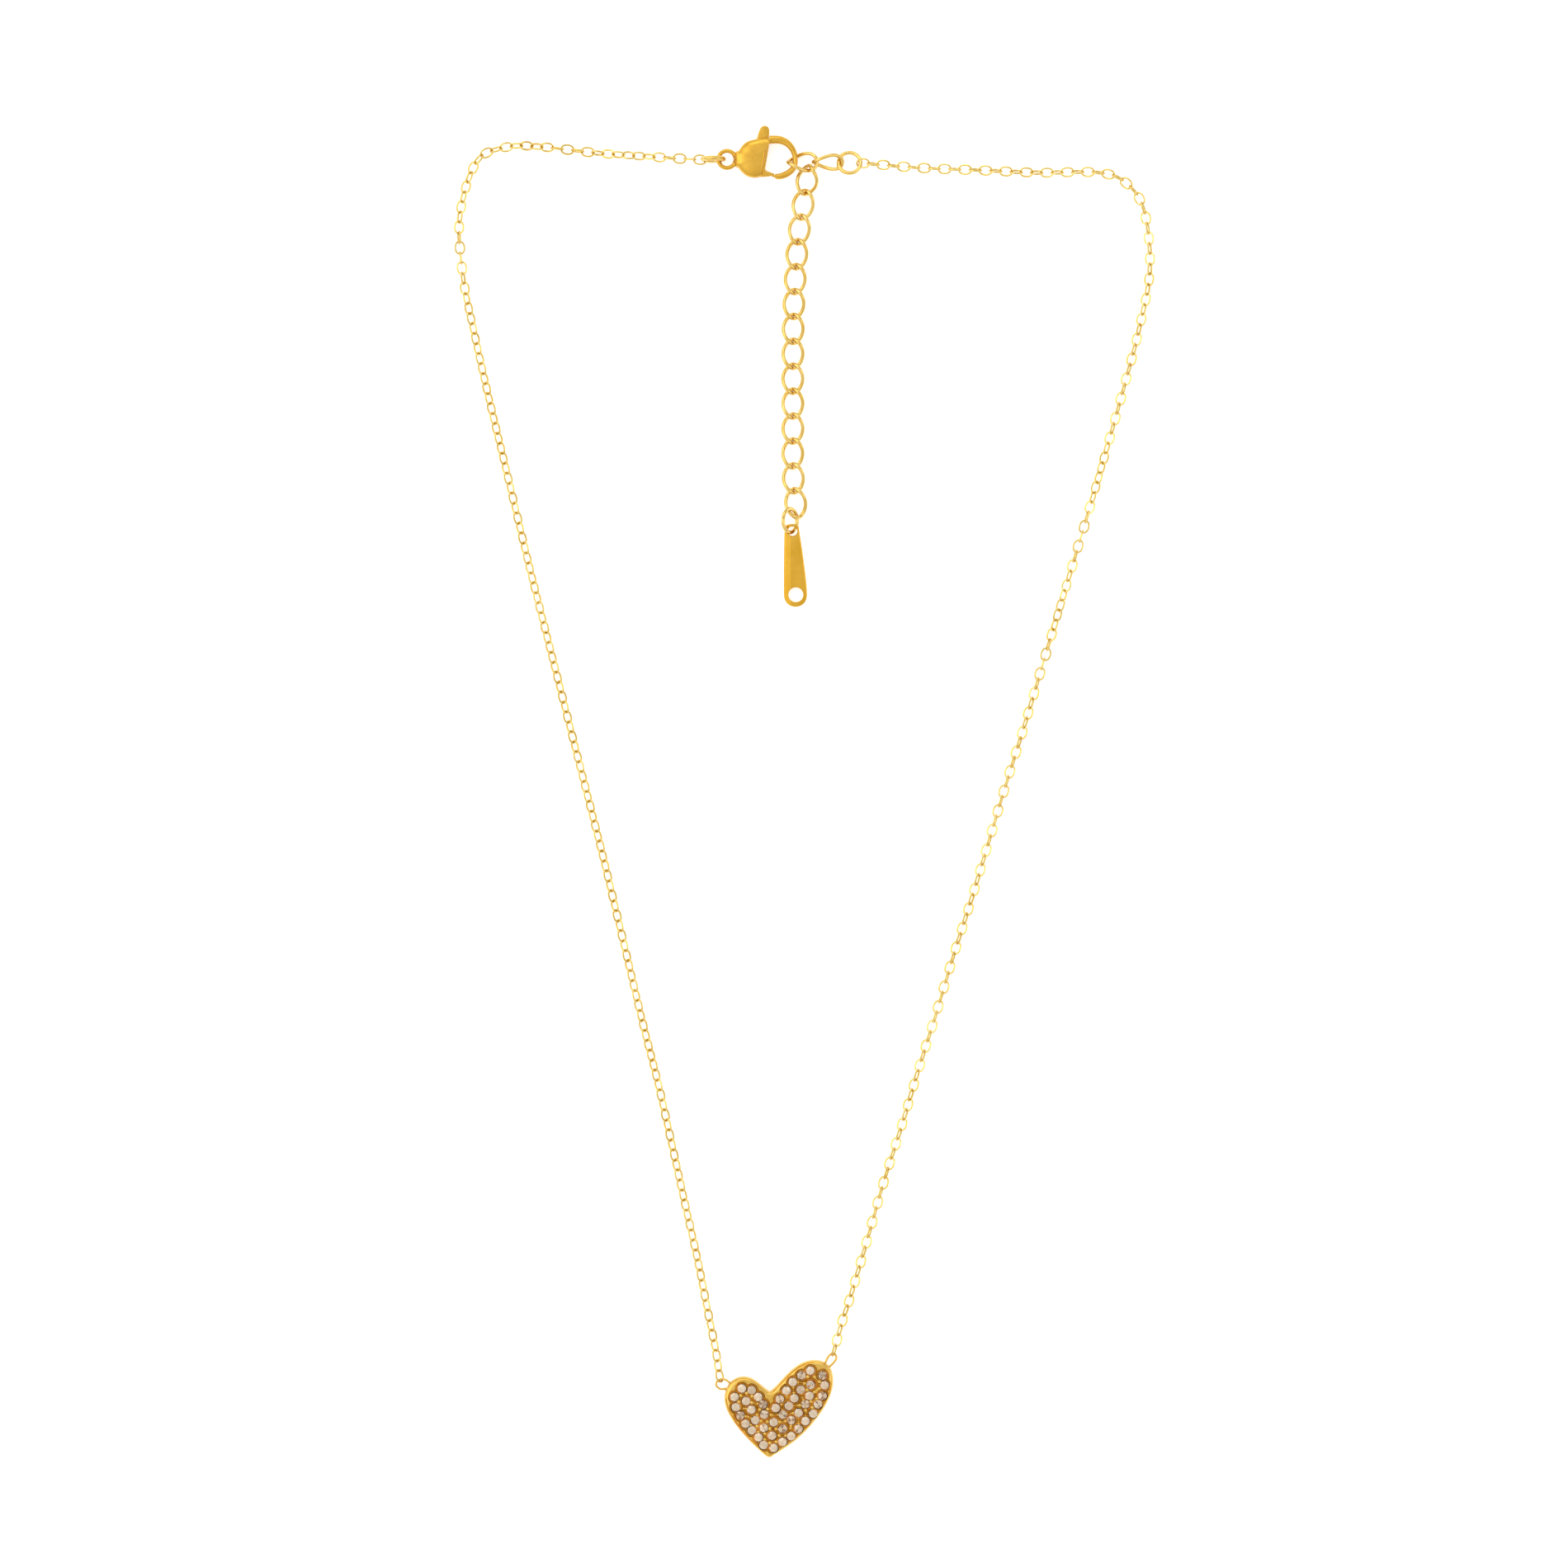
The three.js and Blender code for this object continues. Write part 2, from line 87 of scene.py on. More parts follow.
def noise(tree, scale, detail=3.0, stretch=(1.0, 1.0, 1.0)):
    """Noise in the object's own millimetres, stretched along some axes."""
    coordinates = tree.nodes.new("ShaderNodeTexCoord")
    mapping = tree.nodes.new("ShaderNodeMapping")
    mapping.inputs["Scale"].default_value = [1 / MM / s for s in stretch]
    texture = tree.nodes.new("ShaderNodeTexNoise")
    texture.inputs["Scale"].default_value = scale
    texture.inputs["Detail"].default_value = detail
    link(tree, coordinates, "Object", mapping, "Vector")
    link(tree, mapping, "Vector", texture, "Vector")
    return texture


def ramp(tree, source, stops, output="Fac"):
    node = tree.nodes.new("ShaderNodeValToRGB")
    elements = node.color_ramp.elements
    while len(elements) < len(stops):
        elements.new(0.5)
    for element, (place, colour) in zip(elements, stops):
        element.position = place
        element.color = (*colour, 1.0)
    link(tree, source, output, node, "Fac")
    return node


def map_range(tree, source, output, before, after):
    """Maps one range of an output's values to another."""
    node = tree.nodes.new("ShaderNodeMapRange")
    node.inputs["From Min"].default_value, node.inputs["From Max"].default_value = before
    node.inputs["To Min"].default_value, node.inputs["To Max"].default_value = after
    link(tree, source, output, node, "Value")
    return node


def spread(tree, source, low, high):
    """Spreads the middle of a noise between two values."""
    return map_range(tree, source, "Fac", (0.3, 0.7), (low, high))


def bump(tree, source, depth):
    """Bump whose depth is in millimetres."""
    node = tree.nodes.new("ShaderNodeBump")
    node.inputs["Strength"].default_value = 1.0
    node.inputs["Distance"].default_value = depth * MM
    link(tree, source, "Fac", node, "Height")
    return node


GOLD_DEEP = (0.62, 0.37, 0.065)
GOLD_LIGHT = (0.71, 0.455, 0.115)
WIRE_DEEP = (0.66, 0.43, 0.10)
WIRE_LIGHT = (0.75, 0.53, 0.18)


def metal(name, deep, light, roughness, cloud=0.6, ripple=0.004):
    """Plated metal: a cloudy tint, uneven polish and a faint cast ripple with hairlines."""
    material = bpy.data.materials.new(name)
    material.use_nodes = True
    tree = material.node_tree
    shader = tree.nodes["Principled BSDF"]
    shader.inputs["Metallic"].default_value = 1.0
    tint = ramp(tree, noise(tree, cloud, 4.0), [(0.35, deep), (0.65, light)])
    link(tree, tint, "Color", shader, "Base Color")
    polish = spread(tree, noise(tree, 3.0, 6.0), roughness * 0.75, roughness * 1.3)
    link(tree, polish, "Result", shader, "Roughness")
    cast = bump(tree, noise(tree, 1.6, 2.0), ripple)
    hairlines = bump(tree, noise(tree, 2.0, 4.0, (0.25, 3.0, 0.25)), ripple * 0.3)
    link(tree, cast, "Normal", hairlines, "Normal")
    link(tree, hairlines, "Normal", shader, "Normal")
    return material


def crystal(name):
    """Cut glass with a warm champagne tint."""
    material = bpy.data.materials.new(name)
    material.use_nodes = True
    tree = material.node_tree
    shader = tree.nodes["Principled BSDF"]
    tints = [(0.35, (0.96, 0.89, 0.82)), (0.5, (0.98, 0.93, 0.88)), (0.65, (1.0, 0.98, 0.95))]
    tint = ramp(tree, noise(tree, 2.2, 2.0), tints)
    link(tree, tint, "Color", shader, "Base Color")
    shader.inputs["IOR"].default_value = 1.58
    shader.inputs["Transmission Weight"].default_value = 1.0
    polish = spread(tree, noise(tree, 4.0, 3.0), 0.0, 0.04)
    link(tree, polish, "Result", shader, "Roughness")
    return material


def floor_material():
    material = bpy.data.materials.new("white_table")
    material.use_nodes = True
    tree = material.node_tree
    shader = tree.nodes["Principled BSDF"]
    tint = ramp(tree, noise(tree, 0.02, 2.0), [(0.3, (0.93, 0.93, 0.93)), (0.7, (0.95, 0.95, 0.95))])
    link(tree, tint, "Color", shader, "Base Color")
    shader.inputs["Roughness"].default_value = 0.9
    shader.inputs["Specular IOR Level"].default_value = 0.1
    shader.inputs["Emission Color"].default_value = (1.0, 1.0, 1.0, 1.0)
    shader.inputs["Emission Strength"].default_value = 0.42
    return material


MATERIALS = {
    "heart_gold": metal("heart_gold", GOLD_DEEP, GOLD_LIGHT, 0.27),
    "chain_gold": metal("chain_gold", (0.66, 0.455, 0.115), (0.76, 0.565, 0.20), 0.22, 0.3, 0.002),
    "clasp_gold": metal("clasp_gold", (0.60, 0.335, 0.040), (0.68, 0.395, 0.058), 0.30, 0.5, 0.001),
    "ring_gold": metal("ring_gold", WIRE_DEEP, WIRE_LIGHT, 0.20, 0.4, 0.002),
    "extender_gold": metal("extender_gold", WIRE_DEEP, WIRE_LIGHT, 0.20, 0.4, 0.002),
    "tag_gold": metal("tag_gold", (0.65, 0.35, 0.030), (0.72, 0.41, 0.052), 0.2, 0.5, 0.001),
    "clasp_steel": metal("clasp_steel", (0.50, 0.50, 0.51), (0.62, 0.62, 0.63), 0.32),
    "stone_crystal": crystal("stone_crystal"),
}
# Foils behind the stones' back facets. Their champagne tone is the stones' own colour; the spread of
# pale, warm and dark foils paints the reflections inside a cut stone, and the dark foil is a painted
# dark reflection.
STONE_FOILS = [
    metal("stone_foil_pale", (0.79, 0.72, 0.61), (0.90, 0.85, 0.76), 0.14),
    metal("stone_foil_warm", (0.76, 0.65, 0.53), (0.87, 0.77, 0.65), 0.14),
    metal("stone_foil_painted_dark_reflection", (0.26, 0.14, 0.06), (0.40, 0.24, 0.12), 0.14),
]
FOIL_COUNTS = (10, 6, 1)            # how many pale, warm and dark facets in each 17
# Metal between and round the stones, painted darker: the tray colour is painted shade for the light
# passed to and fro there, and the seat colour is painted shade in the seats round each stone.
TRAY_PAINTED_SHADE_GOLD = metal("tray_painted_shade", (0.45, 0.17, 0.010), (0.60, 0.26, 0.024), 0.26, 0.8, 0.002)
SEAT_PAINTED_SHADE_GOLD = metal("seat_painted_shade", (0.58, 0.22, 0.055), (0.74, 0.33, 0.10), 0.38, 0.8, 0.002)

# ---------------------------------------------------------------- mesh tools


def blank(name, points, faces):
    """A mesh object whose points are in millimetres."""
    mesh = bpy.data.meshes.new(name)
    mesh.from_pydata([tuple(map(float, p)) for p in points], [], faces)
    mesh.update()
    made = bpy.data.objects.new(name, mesh)
    bpy.context.scene.collection.objects.link(made)
    return made


def applied(made):
    """Replaces an object's mesh by what its modifiers make of it."""
    graph = bpy.context.evaluated_depsgraph_get()
    mesh = bpy.data.meshes.new_from_object(made.evaluated_get(graph))
    made.modifiers.clear()
    made.data = mesh
    return made


def cut(made, tools, operation="DIFFERENCE"):
    """Cuts tools away from an object, or joins them to it, and throws the tools away."""
    for tool in tools:
        modifier = made.modifiers.new("cut", "BOOLEAN")
        modifier.operation = operation
        modifier.solver = "MANIFOLD"
        modifier.object = tool
    applied(made)
    for tool in tools:
        bpy.data.objects.remove(tool)
    return made


def finished(made, body, slot, replaces=(), sharp=35.0):
    """Turns a shape in millimetres into a piece of the necklace that rides on a body."""
    made.data.transform(Matrix.Scale(MM, 4))
    made.data.shade_smooth()
    made.data.set_sharp_from_angle(angle=math.radians(sharp))
    if not any(made.data.materials):
        made.data.materials.clear()
        made.data.materials.append(MATERIALS[slot])
    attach(made, body)
    if replaces:
        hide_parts(*replaces)
    return made


def unit(vector):
    return vector / np.linalg.norm(vector, axis=-1, keepdims=True)


def tube_faces(rings, sides, closed):
    """Quads between rings of points, with flat ends unless the tube closes on itself."""
    faces = []
    for i in range(rings if closed else rings - 1):
        for j in range(sides):
            after, across = (i + 1) % rings, (j + 1) % sides
            faces.append((i * sides + j, i * sides + across, after * sides + across, after * sides + j))
    if not closed:
        faces.append(tuple(reversed(range(sides))))
        faces.append(tuple((rings - 1) * sides + j for j in range(sides)))
    return faces


def wire_loop(line, wire, sides, closed=True):
    """Round wire along a line that goes round the origin, its section square to the line."""
    line = np.array(line, float)
    if closed:
        along = np.roll(line, -1, 0) - np.roll(line, 1, 0)
    else:
        along = np.gradient(line, axis=0)
    along = unit(along)
    outward = unit(line - along * (line * along).sum(1, keepdims=True))
    across = np.cross(along, outward)
    points = []
    for i in range(len(line)):
        for j in range(sides):
            turn = 2 * math.pi * j / sides
            arm = outward[i] * math.cos(turn) + across[i] * math.sin(turn)
            points.append(line[i] + arm * wire / 2)
    return np.array(points), tube_faces(len(line), sides, closed)


def shoulder(sine, cosine, fullness):
    """How far a squared circle reaches, for a circle's 1. A fullness of 2 is round."""
    return (abs(sine) ** fullness + abs(cosine) ** fullness) ** (-1 / fullness)


def oval_line(length, width, wire, steps, twist_low=0.0, twist_high=0.0, fullness=2.0, gap=0.0):
    """An oval long along Y, whose plane turns from one twist at its low end to another at
    its high end. Fullness above 2 squares its shoulders. A gap in degrees leaves it open."""
    points = []
    for i in range(steps):
        share = i / steps if gap == 0 else (i / (steps - 1)) * (1 - gap / 360) + gap / 720
        turn = 2 * math.pi * share
        sine, cosine = math.sin(turn), math.cos(turn)
        reach = shoulder(sine, cosine, fullness)
        y = (length - wire) / 2 * sine * reach
        across = (width - wire) / 2 * cosine * reach
        high = y / (length - wire) + 0.5
        twist = math.radians(twist_low + (twist_high - twist_low) * high)
        points.append((across * math.cos(twist), y, across * math.sin(twist)))
    return points


def turned(points, angles, place):
    """Points turned about axes in the order given, such as [("X", 90)], and then moved."""
    matrix = Matrix.Translation(place)
    for axis, degrees in angles:
        matrix = matrix @ Matrix.Rotation(math.radians(degrees), 4, axis)
    return [matrix @ Vector(p) for p in points]


def smooth_line(points, step):
    """A Catmull-Rom line through points, sampled about every step."""
    points = np.array(points, float)
    ends = [2 * points[0] - points[1], *points, 2 * points[-1] - points[-2]]
    line = []
    for p0, p1, p2, p3 in zip(ends, ends[1:], ends[2:], ends[3:]):
        count = max(2, round(np.linalg.norm(p2 - p1) / step))
        for t in np.arange(count) / count:
            line.append(0.5 * (2 * p1 + (p2 - p0) * t + (2 * p0 - 5 * p1 + 4 * p2 - p3) * t**2
                               + (3 * p1 - p0 - 3 * p2 + p3) * t**3))
    return np.array([*line, points[-1]])


def measured(line):
    """How far along the line each of its points is."""
    steps = np.linalg.norm(np.diff(line, axis=0), axis=1)
    return np.concatenate([[0.0], np.cumsum(steps)])


# ---------------------------------------------------------------- cable chains

CABLE_LENGTH = 1.75
CABLE_WIDTH = 1.37
CABLE_WIRE = 0.248
CABLE_PITCH = 1.257
CABLE_FULLNESS = 2.3
CABLE_STEPS = 26
CABLE_SIDES = 10
ROUTE_STEP = 0.2
SWAY = 5                            # degrees that the links wander to and fro
SWAY_LENGTH = 4.1

# The CAD's routes, apart from the first and last point of each. Those are moved by 0.2 to
# 0.54 mm to the centres of the end links, which hold the loop on the heart and the jump
# ring at the other end.
LEFT_STRAND = [
    (-7.36, 4.02, 0.95), (-7.9, 7.5, 0.72), (-8.7, 11.4, 0.66), (-10.1, 18.5, 0.66),
    (-11.7, 25.6, 0.66), (-13.3, 32.8, 0.66), (-14.9, 39.9, 0.66), (-16.7, 47.0, 0.66),
    (-18.4, 54.1, 0.66), (-20.1, 61.2, 0.66), (-21.8, 68.3, 0.66), (-23.6, 75.4, 0.66),
    (-25.4, 82.4, 0.66), (-27.2, 89.5, 0.66), (-29.0, 96.6, 0.66), (-30.8, 103.7, 0.66),
    (-32.5, 110.8, 0.66), (-34.2, 117.9, 0.66), (-35.9, 125.0, 0.66), (-37.5, 132.1, 0.66),
    (-38.9, 139.2, 0.66), (-39.25, 146.5, 0.66), (-37.2, 153.1, 0.66), (-33.7, 154.9, 0.66),
    (-29.6, 155.0, 0.66), (-22.3, 154.2, 0.66), (-15.0, 153.7, 0.7), (-9.75, 153.35, 1.1),
]
RIGHT_STRAND = [
    (6.73, 7.2, 0.95), (7.8, 11.0, 0.72), (8.8, 14.0, 0.66), (10.8, 20.8, 0.66),
    (12.8, 27.8, 0.66), (15.0, 34.7, 0.66), (17.1, 41.7, 0.66), (19.3, 48.7, 0.66),
    (21.4, 55.7, 0.66), (23.6, 62.6, 0.66), (25.7, 69.6, 0.66), (27.8, 76.6, 0.66),
    (30.0, 83.6, 0.66), (32.1, 90.6, 0.66), (34.2, 97.6, 0.66), (36.3, 104.6, 0.66),
    (38.4, 111.6, 0.66), (40.4, 118.6, 0.66), (42.35, 125.6, 0.66), (44.2, 132.7, 0.66),
    (45.5, 139.9, 0.66), (44.8, 147.1, 0.66), (42.6, 150.5, 0.66), (39.2, 151.8, 0.66),
    (31.8, 151.8, 0.66), (24.5, 152.1, 0.66), (17.2, 152.4, 0.66), (10.26, 152.93, 1.12),
]


# How far each strand has rolled at places along it, in millimetres and degrees. At 0 and
# 90 every other link lies flat, and at 45 all links lean alike.
LEFT_ROLL = [
    (0, 135), (133, 135), (141, 90), (145.5, 68), (156, 62), (161.8, 45), (164.3, 90),
    (167, 100), (169.4, 115), (172.3, 135), (175.5, 156), (178.5, 178), (185, 185),
]
RIGHT_ROLL = [
    (0, 107), (84, 105), (88.6, 90), (96, 45), (104.5, 0), (112, -45), (117, -70), (185, -75),
]


def cable_chain(name, node, route, rolls):
    """A strand of soldered oval links, each turned a quarter from the one before."""
    line = smooth_line(route, ROUTE_STEP)
    along = measured(line)
    count = round(along[-1] / CABLE_PITCH) + 1
    template, template_faces = wire_loop(
        oval_line(CABLE_LENGTH, CABLE_WIDTH, CABLE_WIRE, CABLE_STEPS, fullness=CABLE_FULLNESS),
        CABLE_WIRE,
        CABLE_SIDES,
    )
    points, faces = [], []
    for i in range(count):
        here = along[-1] * i / (count - 1)
        centre, before, after = (
            np.array([np.interp(here + shift, along, line[:, axis]) for axis in range(3)])
            for shift in (0.0, -0.6, 0.6)
        )
        heading = unit(after - before)
        side = unit(np.cross(heading, (0.0, 0.0, 1.0)))
        up = np.cross(side, heading)
        strand_roll = np.interp(here, *zip(*rolls)) + SWAY * math.sin(here / SWAY_LENGTH)
        roll = math.radians(strand_roll + 90 * (i % 2))
        across = side * math.cos(roll) + up * math.sin(roll)
        through = np.cross(across, heading)
        base = i * len(template)
        points.extend(centre + template @ np.array([across, heading, through]))
        faces.extend(tuple(base + v for v in face) for face in template_faces)
    strand = finished(blank(name, points, faces), "chain", "chain_gold", [node])


cable_chain("cable_chain_left", "chain_left", LEFT_STRAND, LEFT_ROLL)
cable_chain("cable_chain_right", "chain_right", RIGHT_STRAND, RIGHT_ROLL)

# ---------------------------------------------------------------- rings and extender

RING_WIRE = 0.5
RING_STEPS = 64
RING_SIDES = 16
RING_GAP = 1.6
LINK_LENGTH = 4.06
LINK_WIDTH = 2.9
LINK_WIRE = 0.48
LINK_PITCH = 3.05
LINK_STEPS = 56
LINK_FULLNESS = 2.2
HANGING_COUNT = 14
LINK_SLACK = 0.01                   # how much further apart the links hang than in the CAD


def jump_ring(name, node, diameter, place, turns, cut_turn, wire=RING_WIRE):
    """A ring bent from round wire, with its two cut ends meeting at one side."""
    line = oval_line(diameter, diameter, wire, RING_STEPS, gap=RING_GAP)
    points, faces = wire_loop(line, wire, RING_SIDES, closed=False)
    points = turned(points, [*turns, ("Z", cut_turn)], place)
    finished(blank(name, points, faces), node, "ring_gold", [node])


def extender_link(name, node, body, place, heading, rise, twist_low, twist_high):
    line = oval_line(
        LINK_LENGTH, LINK_WIDTH, LINK_WIRE, LINK_STEPS, twist_low, twist_high, LINK_FULLNESS)
    points, faces = wire_loop(line, LINK_WIRE, RING_SIDES)
    points = turned(points, [("Z", heading), ("X", rise)], place)
    finished(blank(name, points, faces), body, "extender_gold", [node])


jump_ring("clasp_jump_ring", "clasp_ring", 3.15, (-8.13, 153.4, 1.58), [("X", 86)], 250, 0.6)
jump_ring("extender_jump_ring", "extender_ring", 3.22, (8.6, 152.97, 1.25), [("X", -20)], 100)
jump_ring("tag_jump_ring", "tag_ring", 3.4, (1.3, 109.04, 1.46), [("Y", 54)], 170)

extender_link("caught_link", "extender_link_a", "chain", (2.83, 153.07, 1.18), -90, 0, 78, -10)
extender_link("ring_side_link", "extender_link_b", "link_b", (5.93, 153.05, 1.27), -90, 0, -85, -26)

HANGING_ROUTE = [
    (3.45, 150.85), (2.8, 147.2), (2.2, 142.6), (1.75, 135.0), (1.65, 128.0),
    (1.65, 121.0), (1.65, 116.0), (1.85, 112.5), (2.2, 110.0),
]


def hanging_links():
    """The links below the clasp. The first leans up to the link that it hangs from."""
    line = smooth_line([(x, y, 0.0) for x, y in HANGING_ROUTE], ROUTE_STEP)
    along = measured(line)
    for i in range(HANGING_COUNT):
        number = f"{i + 1:02d}"
        low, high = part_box(f"extender_link_{number}")
        centre = (low + high) / 2 / MM
        here = i * LINK_PITCH
        step = [
            np.interp(here + 0.5, along, line[:, axis]) - np.interp(here - 0.5, along, line[:, axis])
            for axis in range(2)
        ]
        heading = math.degrees(math.atan2(step[1], step[0])) + 90
        place = (centre.x, centre.y - LINK_SLACK * i, centre.z)
        rise, top_twist = (12, 65) if i == 0 else (0, 45)
        extender_link(
            f"hanging_link_{number}", f"extender_link_{number}", f"link_{number}",
            place, heading, rise, -45, top_twist,
        )


hanging_links()

# ---------------------------------------------------------------- outlines


def bezier_outline(start, curves, steps):
    """A closed outline of curves, each given as two handles and an end point. A curve
    given as its end point alone is a straight edge."""
    points, here = [], np.array(start, float)
    for curve in curves:
        if len(curve) == 1:
            points.append(here)
            here = np.array(curve[0], float)
            continue
        first, second, end = (np.array(p, float) for p in curve)
        for t in np.arange(steps) / steps:
            points.append((1 - t) ** 3 * here + 3 * (1 - t) ** 2 * t * first
                          + 3 * (1 - t) * t**2 * second + t**3 * end)
        here = end
    return np.array(points)


def inward_normals(outline):
    """Unit normals that point into an outline, whichever way round it runs."""
    along = np.roll(outline, -1, 0) - np.roll(outline, 1, 0)
    x, y = outline.T
    area = np.sum(x * np.roll(y, -1) - np.roll(x, -1) * y)
    return unit(np.stack([-along[:, 1], along[:, 0]], axis=1)) * np.sign(area)


def inset(outline, width):
    """The outline moved inwards by a width, or by one width for each of its points."""
    width = np.broadcast_to(width, len(outline))[:, None]
    return outline + inward_normals(outline) * width


def clear_inset(outline, width):
    """An inset outline without the points that cross to the far side of a corner."""
    widths = np.broadcast_to(width, len(outline))
    moved = inset(outline, widths)
    reach = np.linalg.norm(moved[:, None] - outline[None], axis=2).min(1)
    return moved[reach > np.abs(widths) * 0.96]


def stack(name, rings):
    """A closed shape from rings of equal length, each an outline and its height."""
    count = len(rings[0][0])
    points = [(x, y, z) for outline, z in rings for x, y in outline]
    faces = tube_faces(len(rings), count, closed=False)
    made = blank(name, points, faces)
    outward(made)
    return made


def outward(made):
    """Turns every face of a closed mesh outwards."""
    shape = bmesh.new()
    shape.from_mesh(made.data)
    bmesh.ops.recalc_face_normals(shape, faces=shape.faces)
    shape.to_mesh(made.data)
    shape.free()


def rounded_slab(name, outline, bottom, top, radius, steps):
    """A flat shape between two heights with round upper and lower edges."""
    rings = []
    for i in range(steps + 1):
        turn = math.pi / 2 * i / steps
        edge = inset(outline, radius * (1 - math.sin(turn)))
        rings.append((edge, bottom + radius * (1 - math.cos(turn))))
    for i in range(steps + 1):
        turn = math.pi / 2 * i / steps
        edge = inset(outline, radius * (1 - math.cos(turn)))
        rings.append((edge, top - radius * (1 - math.sin(turn))))
    return stack(name, rings)


def ring_of(radius, sides, x=0.0, y=0.0, turn=0.0):
    turns = turn + 2 * math.pi * np.arange(sides) / sides
    return np.stack([x + radius * np.cos(turns), y + radius * np.sin(turns)], axis=1)


def drill(name, x, y, profile, sides=32):
    """A round tool at a place, from a profile of radii and heights, lowest first."""
    return stack(name, [(ring_of(radius, sides, x, y), z) for radius, z in profile])


# ---------------------------------------------------------------- heart pendant

HEART_TOP = 1.9
POCKET_RADIUS = 0.72
POCKET_RIM = 0.34                   # least width of the rim
FLOOR_Z = 1.72                      # floor between the stones
SEAT_RADIUS = 0.532
STONE_RADIUS = 0.525
STONE_TOP = 1.93
STONE_GIRDLE = 1.64
STONE_CULET = 1.1
LOOSE_STONE = (3.9, 3.0)            # this one has slipped, its upper right edge down
LOOSE_LEAN = [("Z", 45), ("Y", 24)]
LOOSE_SHIFT = (-0.07, -0.07, -0.08)
HEART_LOOP_WIRE = 0.28
STEEP = 0.92                        # upward part of the normal of a pocket's sloping wall
TRAY_LOWEST = 0.9
HEART_CURVE_STEPS = 18
BEAD_RADIUS = 0.24
BEAD_REACH = 2.6                    # greatest distance between stones that share a bead
BEAD_LEAST_ROOM = 0.06
BEAD_EDGE = 0.25                    # least distance from a bead to the rim

HEART_START = (-1.17, 2.1)
HEART_CURVES = [
    [(0.3, 3.2), (1.7, 5.9), (4.2, 5.97)],
    [(5.9, 6.0), (6.7, 4.9), (6.6, 3.2)],
    [(6.5, 0.9), (4.4, -1.5), (3.1, -2.9)],
    [(1.5, -4.4), (0.9, -4.7), (-0.76, -5.75)],
    [(-1.05, -6.05), (-1.4, -6.05), (-1.77, -5.73)],
    [(-3.6, -4.2), (-6.9, -0.9), (-6.77, 1.3)],
    [(-6.7, 3.0), (-5.6, 3.95), (-4.35, 3.95)],
    [(-3.0, 3.95), (-2.0, 2.5), (-1.17, 2.1)],
]

STONE_ROWS = {
    "stone_row_left_edge": [
        (-5.5, 1.45), (-5.35, 0.2), (-4.8, -0.8), (-4.15, -1.85),
        (-3.4, -2.65), (-2.55, -3.5), (-1.95, -4.45),
    ],
    "stone_row_left_lobe": [
        (-4.6, 2.5), (-3.4, 2.3), (-2.6, 1.45), (-2.0, 0.55), (-1.85, -0.7),
    ],
    "stone_row_left_inner": [
        (-4.1, 0.95), (-3.45, -0.1), (-2.95, -1.4), (-1.9, -2.35),
    ],
    "stone_row_right_edge": [
        (5.3, 4.1), (5.55, 2.9), (5.3, 1.6), (4.75, 0.55), (4.15, -0.6),
        (3.2, -1.5), (2.35, -2.45), (1.45, -3.35), (0.4, -4.05), (-0.7, -4.8),
    ],
    "stone_row_right_lobe": [
        (3.8, 4.7), (2.7, 4.1), (1.65, 3.3), (0.85, 2.25), (0.05, 1.2), (-0.45, 0.1),
    ],
    "stone_row_middle_upper": [
        (3.9, 3.0), (2.6, 2.35), (1.85, 1.3), (1.15, 0.35), (0.4, -0.7), (-0.7, -1.65),
    ],
    "stone_row_middle_lower": [
        (3.7, 1.6), (3.2, 0.55), (2.35, -0.5), (1.45, -1.4), (0.4, -2.45), (-0.9, -3.3),
    ],
}


def stone_tools(stones, profile):
    return [drill("stone_tool", x, y, profile, 28) for x, y in stones]


def heart_casting(stones):
    """The rim is left standing wherever no stone is near; a pocket round each stone is
    sunk to the floor, and a seat is bored in it."""
    outline = bezier_outline(HEART_START, HEART_CURVES, HEART_CURVE_STEPS)
    rim = [
        (0.16, 0.0), (0.05, 0.04), (0.0, 0.14), (0.0, 1.30), (0.03, 1.48),
        (0.1, 1.64), (0.2, 1.76), (0.32, 1.84), (0.44, 1.88), (0.54, HEART_TOP),
    ]
    heart = stack("heart_casting", [(inset(outline, width), z) for width, z in rim])
    pocket_edge = clear_inset(outline, POCKET_RIM)
    pockets = stack("pockets", [(pocket_edge, FLOOR_Z), (pocket_edge, HEART_TOP + 1)])
    profile = [
        (POCKET_RADIUS, FLOOR_Z - 0.1), (POCKET_RADIUS, FLOOR_Z + 0.04),
        (POCKET_RADIUS + 0.15, HEART_TOP + 0.02),
    ]
    discs = stone_tools(stones, profile)
    cut(discs[0], discs[1:], "UNION")
    cut(pockets, discs[:1], "INTERSECT")
    seats = stone_tools(stones, [
        (0.16, STONE_CULET - 0.1), (SEAT_RADIUS - 0.06, STONE_GIRDLE - 0.3),
        (SEAT_RADIUS, STONE_GIRDLE - 0.06), (SEAT_RADIUS + 0.11, FLOOR_Z + 0.01),
        (SEAT_RADIUS + 0.14, HEART_TOP + 0.02),
    ])
    cut(heart, [pockets, *seats])
    heart.data.materials.clear()
    for material in (MATERIALS["heart_gold"], TRAY_PAINTED_SHADE_GOLD, SEAT_PAINTED_SHADE_GOLD):
        heart.data.materials.append(material)
    # Faces on the pocket floors and walls take the tray's painted shade, and faces down in the seats
    # take the seat's painted shade.
    for polygon in heart.data.polygons:
        x, y, z = polygon.center
        within = np.linalg.norm(outline - (x, y), axis=1).min() > POCKET_RIM * 0.9
        sunk = z < FLOOR_Z + 0.02 or polygon.normal.z < STEEP
        if within and z > TRAY_LOWEST and sunk:
            polygon.material_index = 2 if z < FLOOR_Z - 0.01 else 1
    return finished(heart, "pendant", "heart_gold", ["heart_base"], sharp=28)


